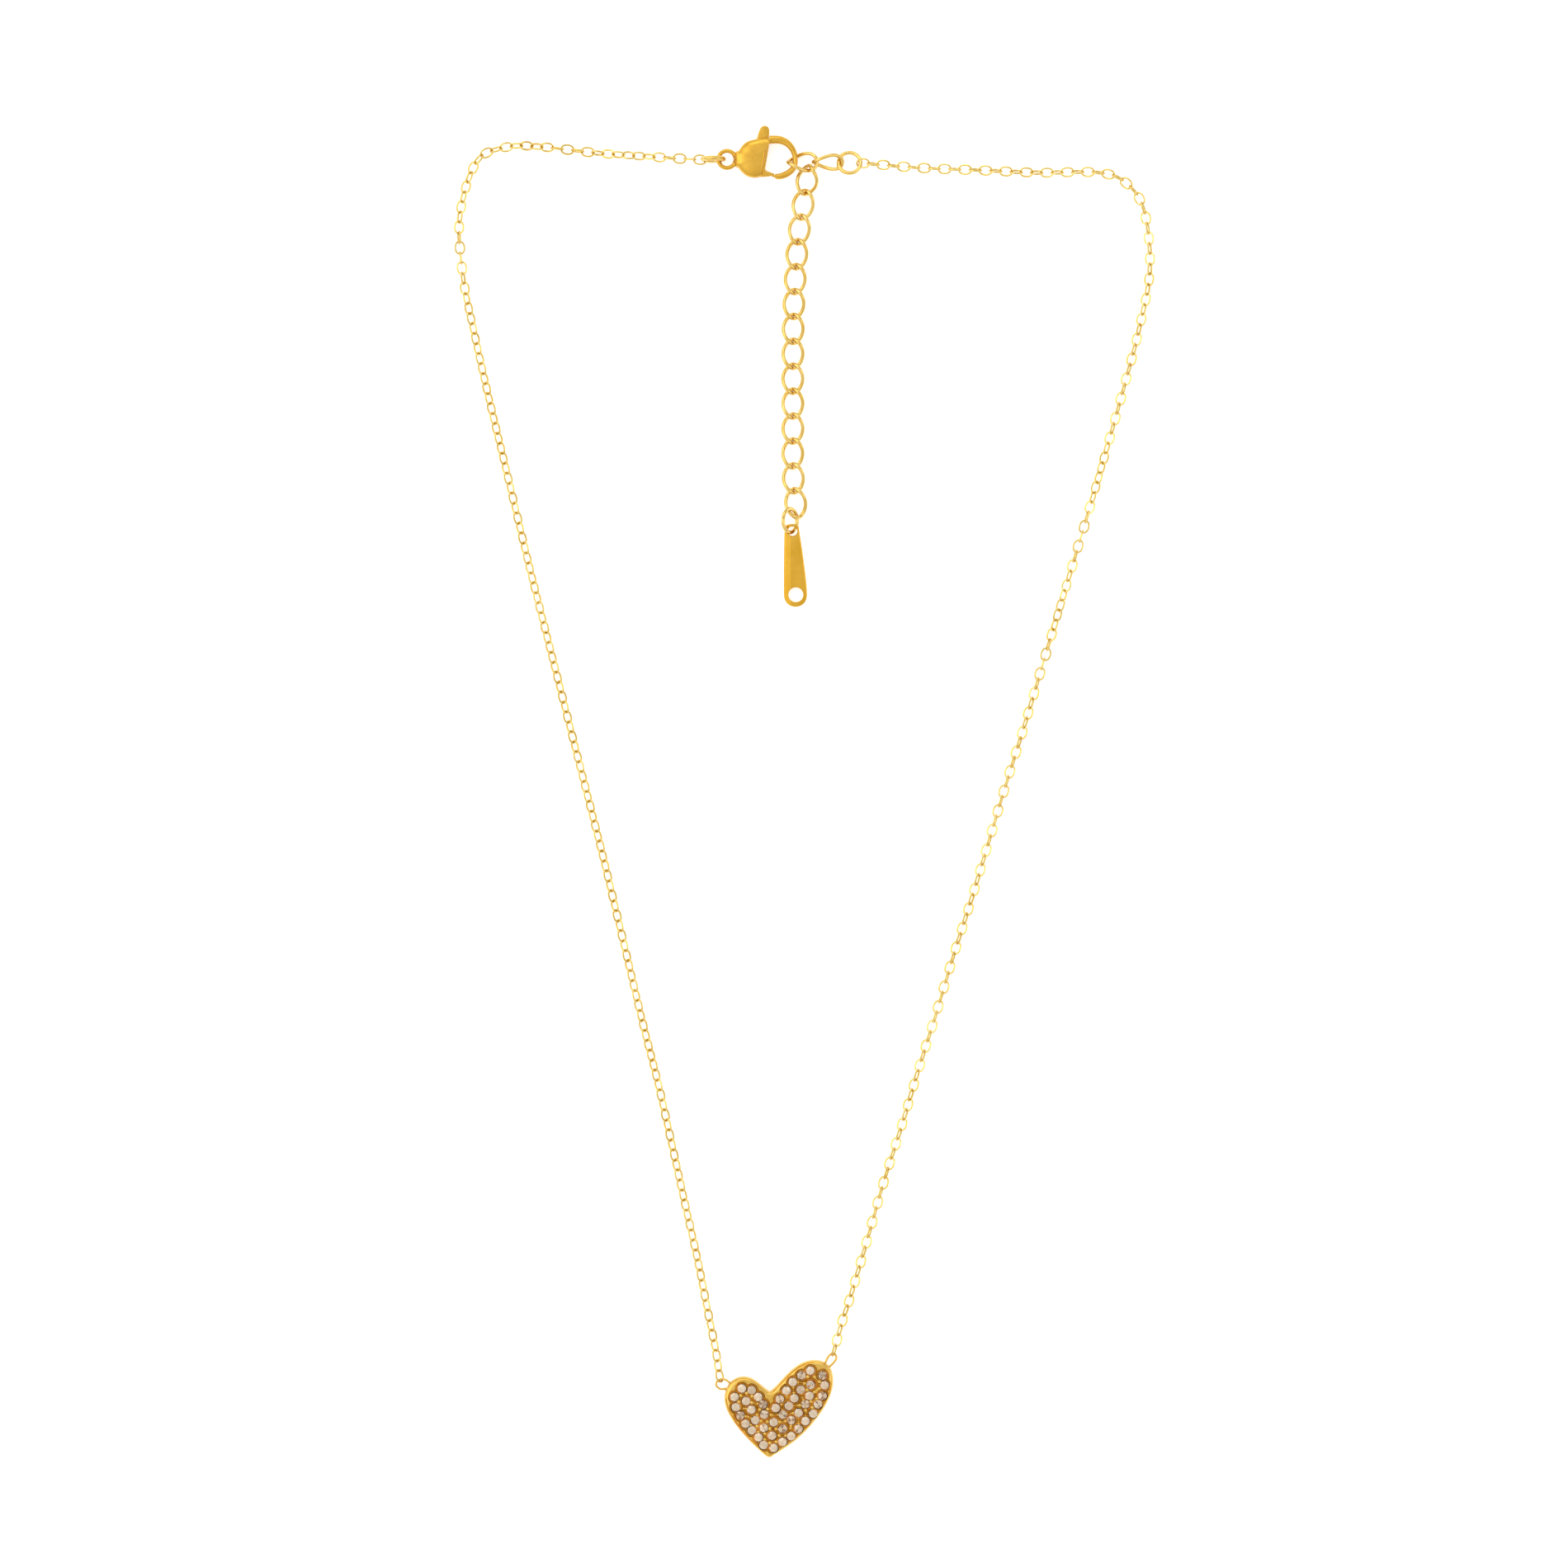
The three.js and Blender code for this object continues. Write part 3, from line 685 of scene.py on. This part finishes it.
def heart_beads(stones):
    """Beads of metal raised between each three neighbouring stones to hold them."""
    spots, _, triangles, *_ = delaunay_2d_cdt([Vector(s) for s in stones], [], [], 0, 1e-4)
    outline = bezier_outline(HEART_START, HEART_CURVES, HEART_CURVE_STEPS)
    tray = clear_inset(outline, POCKET_RIM)
    points, faces = [], []
    for triangle in triangles:
        a, b, c = (np.array(spots[i]) for i in triangle)
        sides = [np.linalg.norm(a - b), np.linalg.norm(b - c), np.linalg.norm(c - a)]
        centre = (a + b + c) / 3
        room = min(np.linalg.norm(centre - corner) for corner in (a, b, c)) - STONE_RADIUS
        inside = np.linalg.norm(tray - centre, axis=1).min() > BEAD_EDGE
        if max(sides) > BEAD_REACH or room < BEAD_LEAST_ROOM or not inside:
            continue
        radius = min(BEAD_RADIUS, room + 0.03)
        low = FLOOR_Z - 0.12
        profile = [
            (radius, low), (radius, low + 0.16), (radius * 0.9, low + 0.23),
            (radius * 0.62, low + 0.29), (radius * 0.25, low + 0.31),
        ]
        base = len(points)
        for r, z in profile:
            points.extend((x, y, z) for x, y in ring_of(r, 12, *centre))
        faces.extend(tuple(base + v for v in face) for face in tube_faces(len(profile), 12, False))
    beads = blank("heart_beads", points, faces)
    outward(beads)
    finished(beads, "pendant", "heart_gold", sharp=50)


def cut_stone():
    """Points and faces of one round stone about its own axis, and which of the faces
    belong to the foiled back."""
    shape = bmesh.new()
    layers = [
        (0.48, STONE_TOP, 8, 0.0), (0.82, STONE_TOP - 0.12, 8, 22.5),
        (1.0, STONE_GIRDLE + 0.04, 16, 0.0), (1.0, STONE_GIRDLE - 0.04, 16, 0.0),
        (0.5, STONE_GIRDLE - 0.31, 8, 22.5),
    ]
    for share, z, sides, turn in layers:
        for x, y in ring_of(STONE_RADIUS * share, sides, turn=math.radians(turn)):
            shape.verts.new((x, y, z - STONE_GIRDLE))
    shape.verts.new((0, 0, STONE_CULET - STONE_GIRDLE))
    bmesh.ops.convex_hull(shape, input=shape.verts)
    flat = math.radians(2)
    bmesh.ops.dissolve_limit(shape, angle_limit=flat, verts=shape.verts, edges=shape.edges)
    shape.verts.index_update()
    points = np.array([v.co[:] for v in shape.verts])
    faces = [tuple(v.index for v in face.verts) for face in shape.faces]
    backs = [face.calc_center_median().z < -0.05 for face in shape.faces]
    shape.free()
    return points, faces, backs


def stone_row(node, centres, draw):
    """A row of stones, each turned and set a little unevenly."""
    stone, stone_faces, stone_backs = cut_stone()
    points, faces, coats = [], [], []
    for x, y in centres:
        lean = [("Z", draw.uniform(0, 360)), ("X", draw.uniform(-5, 5)), ("Y", draw.uniform(-5, 5))]
        place = Vector((x, y, STONE_GIRDLE))
        if (x, y) == LOOSE_STONE:
            lean = LOOSE_LEAN
            place += Vector(LOOSE_SHIFT)
        base = len(points)
        points.extend(turned([Vector(p) for p in stone], lean, place))
        faces.extend(tuple(base + v for v in face) for face in stone_faces)
        # Each back facet gets one of the foils, so a few of them carry the painted dark reflection.
        foils = [1 + i for i, count in enumerate(FOIL_COUNTS) for _ in range(count)]
        draw.shuffle(foils)
        coats.extend(foils[i % len(foils)] if back else 0 for i, back in enumerate(stone_backs))
    row = blank(node.replace("stone_row", "stones"), points, faces)
    row.data.materials.append(MATERIALS["stone_crystal"])
    for foil in STONE_FOILS:
        row.data.materials.append(foil)
    row.data.polygons.foreach_set("material_index", coats)
    finished(row, "pendant", "stone_crystal", [node], sharp=1)


def heart_loop(name, node, points):
    """A wire loop soldered to the heart's edge. Its points start and end in the metal."""
    line = smooth_line(points, 0.08)
    middle = np.append(np.mean(line[:, :2], axis=0), points[0][2])
    shape, faces = wire_loop(line - middle, HEART_LOOP_WIRE, 12, closed=False)
    finished(blank(name, shape + middle, faces), "pendant", "heart_gold", [node])


all_stones = [centre for row in STONE_ROWS.values() for centre in row]
heart_casting(all_stones)
heart_beads(all_stones)
stone_draw = random.Random(7)
for row_name, row_centres in STONE_ROWS.items():
    stone_row(row_name, row_centres, stone_draw)
heart_loop("heart_wire_loop_left", "heart_loop_left", [
    (-6.1, 3.15, 0.95), (-6.55, 3.5, 0.95), (-7.05, 3.62, 0.95), (-7.62, 3.38, 0.95),
    (-7.78, 2.87, 0.95), (-7.33, 2.43, 0.95), (-6.7, 2.42, 0.95), (-6.2, 2.56, 0.95),
])
heart_loop("heart_wire_loop_right", "heart_loop_right", [
    (5.45, 5.25, 0.95), (5.7, 5.78, 0.95), (6.0, 6.38, 0.95), (6.45, 6.75, 0.95),
    (6.9, 6.58, 0.95), (6.96, 6.1, 0.95), (6.58, 5.55, 0.95), (6.0, 5.0, 0.95),
])

# ---------------------------------------------------------------- lobster clasp

# Places on the clasp are measured from the centre of its eye, heights from the table.
EYE = (-6.44, 153.4)
EYE_DIAMETER = 2.64
EYE_WIRE = 0.54
CLASP_MID_Z = 1.15
CLASP_HALF = 1.13                   # half the thickness of the housing
BULB_CENTRE = (4.2, 0.15)
PIVOT = (4.05, 1.55)
PIN_BORE_RADIUS = 0.34
TIP_RADIUS = 3.84                   # from the pivot to the end of the lever
TIP_GAP = 0.03
SLOT_BOTTOM, SLOT_TOP = 0.65, 1.65
LEVER_BOTTOM, LEVER_TOP = 0.73, 1.57
LEVER_EDGE = 0.07
MELT_SMOOTHING = 3
VOXEL = 0.055

HOOK_LINE = [
    (4.6, 2.3), (5.6, 2.42), (6.6, 2.36), (7.5, 1.9), (8.14, 1.05), (8.38, 0.05),
    (8.22, -0.95), (7.6, -1.62), (6.9, -1.98), (6.25, -2.12), (5.44, -1.95),
]
HOOK_WIDTHS = [1.05, 1.02, 0.98, 0.87, 0.74, 0.64, 0.7, 0.78, 0.78, 0.72, 0.5]
HOOK_THICKNESS = 1.09


def sweep_flat(name, line, widths, thickness, middle_z, sides=20, fullness=2.6):
    """A bar of varying width along a line in the plane, its section a soft rectangle."""
    line = np.array(line, float)
    along = unit(np.gradient(line, axis=0))
    across = np.stack([-along[:, 1], along[:, 0]], axis=1)
    rings = []
    for centre, arm, width in zip(line, across, widths):
        for j in range(sides):
            turn = 2 * math.pi * j / sides
            sine, cosine = math.sin(turn), math.cos(turn)
            reach = shoulder(sine, cosine, fullness)
            flat = centre + arm * width / 2 * cosine * reach
            rings.append((*flat, middle_z + thickness / 2 * sine * reach))
    made = blank(name, rings, tube_faces(len(line), sides, closed=False))
    outward(made)
    return made


def pillow(name, outline, centre, half_height, middle_z, fullness=3.4, levels=12):
    """A cushion-shaped body over a rounded outline."""
    rings = []
    for i in range(1, 2 * levels):
        turn = math.pi * (i / (2 * levels) - 0.5)
        high = math.copysign(abs(math.sin(turn)) ** 0.9, turn)
        share = (1 - abs(high) ** fullness) ** (1 / fullness)
        rings.append((centre + (outline - centre) * share, middle_z + half_height * high))
    return stack(name, rings)


def round_bar(name, centre, radii, fullness):
    """A squarish egg, used where parts of a casting run together."""
    outline = []
    for i in range(32):
        turn = 2 * math.pi * i / 32
        sine, cosine = math.sin(turn), math.cos(turn)
        reach = shoulder(sine, cosine, fullness)
        outline.append((centre[0] + radii[0] * cosine * reach, centre[1] + radii[1] * sine * reach))
    return pillow(name, np.array(outline), centre[:2], radii[2], centre[2])


def melted(made, parts):
    """Runs shapes together into one casting with soft joins."""
    shape = bmesh.new()
    for part in [made, *parts]:
        shape.from_mesh(part.data)
    shape.to_mesh(made.data)
    shape.free()
    for part in parts:
        bpy.data.objects.remove(part)
    remesh = made.modifiers.new("melt", "REMESH")
    remesh.mode = "VOXEL"
    remesh.voxel_size = VOXEL
    soften = made.modifiers.new("soften", "SMOOTH")
    soften.factor = 0.5
    soften.iterations = MELT_SMOOTHING
    return applied(made)


def housing_outline():
    return bezier_outline((1.0, 0.75), [
        [(1.5, 0.95), (1.65, 1.55), (2.15, 1.98)],
        [(2.75, 2.42), (3.3, 2.45), (4.0, 2.62)],
        [(4.5, 2.75), (5.2, 2.9), (5.5, 2.4)],
        [(5.35, 2.1), (5.05, 1.9), (4.96, 1.5)],
        [(4.8, 0.4), (4.5, -1.0), (4.28, -2.1)],
        [(3.5, -2.42), (2.6, -2.35), (2.0, -1.75)],
        [(1.55, -1.4), (1.45, -0.95), (1.0, -0.75)],
        [(0.9, -0.3), (0.9, 0.3), (1.0, 0.75)],
    ], 10)


def slot_tool():
    outline = np.array([
        (2.5, 1.3), (3.2, 3.6), (5.22, 3.6), (5.22, 1.8), (5.9, 1.8), (5.9, -2.9),
        (3.4, -2.9), (2.5, -1.2),
    ])
    return stack("slot", [(outline, SLOT_BOTTOM), (outline, SLOT_TOP)])


def pin_bore():
    return drill("bore", *PIVOT, [(PIN_BORE_RADIUS, 0.3), (PIN_BORE_RADIUS, 2.0)])


def clasp_casting():
    """Housing, hook and eye in one, slotted for the lever and bored for its pin."""
    line = smooth_line([(x, y, w) for (x, y), w in zip(HOOK_LINE, HOOK_WIDTHS)], 0.12)
    hook = sweep_flat("hook", line[:, :2], line[:, 2], HOOK_THICKNESS, CLASP_MID_Z)
    eye_points, eye_faces = wire_loop(
        oval_line(EYE_DIAMETER, EYE_DIAMETER, EYE_WIRE, 48), EYE_WIRE, 16)
    eye = blank("eye", [p + (0, 0, CLASP_MID_Z) for p in eye_points], eye_faces)
    neck = round_bar("neck", (1.32, 0.0, CLASP_MID_Z), (0.34, 1.0, 0.72), 4.0)
    bulb = pillow("clasp_casting", housing_outline(), BULB_CENTRE, CLASP_HALF, CLASP_MID_Z)
    clasp = melted(bulb, [hook, eye, neck])
    sweep_radius = TIP_RADIUS + TIP_GAP
    tip = drill("tip", *PIVOT, [(sweep_radius, -1), (sweep_radius, 4)], 128)
    corners = np.array([(4.4, -0.9), (4.4, -3.2), (6.5, -3.2), (6.5, -0.9)])
    zone = stack("zone", [(corners, -1), (corners, 4)])
    cut(tip, [zone], "INTERSECT")
    cut(clasp, [slot_tool(), tip, pin_bore()])
    clasp.data.transform(Matrix.Translation((*EYE, 0)))
    return finished(clasp, "clasp", "clasp_gold", ["clasp_body"], sharp=40)


def lever_outline():
    tip = []
    reach, heel = math.atan2(-3.44, 1.66), math.atan2(-3.62, 1.27)
    for i in range(11):
        turn = reach + (heel - reach) * i / 10
        tip.append((PIVOT[0] + TIP_RADIUS * math.cos(turn), PIVOT[1] + TIP_RADIUS * math.sin(turn)))
    return bezier_outline((3.5, 2.2), [
        [(3.9, 2.9), (3.85, 4.12), (4.62, 4.12)],
        [(5.42, 4.12), (5.2, 3.2), (5.12, 2.55)],
        [(5.15, 2.2), (5.15, 1.9), (5.15, 1.6)],
        [(5.0, 0.7), (4.84, -0.25), (4.68, -1.15)],
        [(4.72, -1.35), (4.78, -1.42), (4.9, -1.46)],
        [(5.2, -1.56), (5.5, -1.67), (5.66, -1.72)],
        [(5.84, -1.77), (5.8, -1.83), tip[0]],
        *[[point] for point in tip[1:]],
        [(4.9, -2.13), (4.5, -2.16), (4.0, -2.17)],
        [(3.8, -1.2), (3.6, 0.0), (3.5, 1.2)],
        [(3.5, 1.5), (3.5, 1.9), (3.5, 2.2)],
    ], 8)


def clasp_lever():
    lever = rounded_slab(
        "clasp_lever_arm", lever_outline(), LEVER_BOTTOM, LEVER_TOP, LEVER_EDGE, 4)
    cut(lever, [pin_bore()])
    lever.data.transform(Matrix.Translation((*EYE, 0)))
    finished(lever, "lever", "clasp_gold", ["clasp_lever"], sharp=40)


def clasp_pin():
    profile = [(0.22, 0.34), (0.28, 0.4), (0.28, 1.9), (0.22, 1.96)]
    pin = drill("clasp_hinge_pin", *PIVOT, profile, 24)
    pin.data.transform(Matrix.Translation((*EYE, 0)))
    finished(pin, "clasp", "clasp_steel", ["clasp_pivot_pin"])


clasp_casting()
clasp_lever()
clasp_pin()

# ---------------------------------------------------------------- end tag

TAG_PLACE = (1.97, 98.5, 0.02)
TAG_RISE = 6
TAG_THICKNESS = 0.6
TAG_EDGE = 0.14
TAG_CREASE = -0.62                  # the strip to the left of this is bent down
TAG_BEND = 0.11                     # fall of the bent strip for each millimetre


def tag_outline():
    return bezier_outline((-1.35, 9.8), [
        [(-1.15, 10.35), (0.2, 10.35), (0.42, 9.8)],
        [(0.9, 6.5), (1.43, 3.0), (1.43, 1.5)],
        [(1.43, -0.5), (-1.43, -0.5), (-1.43, 1.5)],
        [(-1.43, 3.0), (-1.45, 6.5), (-1.35, 9.8)],
    ], 28)


def end_tag():
    """A stamped drop with rolled edges and a hole at each end. A strip along its left
    side is bent down a little."""
    tag = rounded_slab("end_tag_drop", tag_outline(), 0.0, TAG_THICKNESS, TAG_EDGE, 5)
    shape = bmesh.new()
    shape.from_mesh(tag.data)
    everything = [*shape.verts, *shape.edges, *shape.faces]
    crease = (TAG_CREASE, 0, 0)
    bmesh.ops.bisect_plane(shape, geom=everything, plane_co=crease, plane_no=(1, 0, 0))
    for vertex in shape.verts:
        if vertex.co.x < TAG_CREASE:
            vertex.co.z -= (TAG_CREASE - vertex.co.x) * TAG_BEND
    shape.to_mesh(tag.data)
    shape.free()
    small_hole = [(0.68, -0.1), (0.59, 0.08), (0.59, 0.52), (0.68, 0.7)]
    large_hole = [(1.0, -0.1), (0.91, 0.08), (0.91, 0.52), (1.0, 0.7)]
    cut(tag, [drill("hole", -0.35, 9.33, small_hole, 40), drill("hole", 0.04, 1.5, large_hole, 48)])
    rise = Matrix.Rotation(math.radians(TAG_RISE), 4, "X")
    tag.data.transform(Matrix.Translation(TAG_PLACE) @ rise)
    finished(tag, "tag", "tag_gold", ["end_tag"], sharp=30)


end_tag()

# ---------------------------------------------------------------- light and table


def area_light(name, place, size, power):
    data = bpy.data.lights.new(name, "AREA")
    data.shape = "RECTANGLE"
    data.size, data.size_y = size
    data.energy = power
    lamp = bpy.data.objects.new(name, data)
    lamp.location = place
    aim = Vector((0.0, 0.08, 0.0)) - lamp.location
    lamp.rotation_mode = "QUATERNION"
    lamp.rotation_quaternion = aim.to_track_quat("-Z", "Y")
    bpy.context.scene.collection.objects.link(lamp)


def studio():
    """A pale sky that is darker near the horizon and brighter on the left."""
    world = bpy.data.worlds.new("studio")
    world.use_nodes = True
    tree = world.node_tree
    background = tree.nodes["Background"]
    coordinates = tree.nodes.new("ShaderNodeTexCoord")
    split = tree.nodes.new("ShaderNodeSeparateXYZ")
    link(tree, coordinates, "Generated", split, "Vector")
    levels = [(0.0, 0.62), (0.25, 0.78), (0.6, 0.95), (1.0, 1.0)]
    rise = ramp(tree, split, [(place, (grey, grey, grey)) for place, grey in levels], "Z")
    side = map_range(tree, split, "X", (-0.20, -0.08), (1.28, 1.0))
    level = tree.nodes.new("ShaderNodeMath")
    level.operation = "MULTIPLY"
    tree.links.new(rise.outputs["Color"], level.inputs[0])
    tree.links.new(side.outputs["Result"], level.inputs[1])
    link(tree, level, "Value", background, "Color")
    background.inputs["Strength"].default_value = 1.0
    bpy.context.scene.world = world
    area_light("softbox_left", (-0.9, 0.35, 0.9), (0.9, 1.2), 3.2)
    area_light("softbox_right", (0.9, 0.0, 0.7), (0.7, 0.9), 1.6)
    area_light("softbox_back", (0.0, 1.1, 0.8), (1.0, 0.5), 2.0)
    bpy.context.scene.view_settings.view_transform = "Standard"


def table():
    half = 3.0
    corners = [(-half, -half, 0), (half, -half, 0), (half, half, 0), (-half, half, 0)]
    mesh = bpy.data.meshes.new("table")
    mesh.from_pydata(corners, [], [(0, 1, 2, 3)])
    mesh.materials.append(floor_material())
    top = bpy.data.objects.new("table", mesh)
    bpy.context.scene.collection.objects.link(top)


studio()
table()

for name, node in frame["nodes"].items():
    if not node.hide_render:
        slot = next(s["material_slot"] for s in frame["record"]["subparts"] if s["node"] == name)
        node.data.materials.clear()
        node.data.materials.append(MATERIALS[slot])
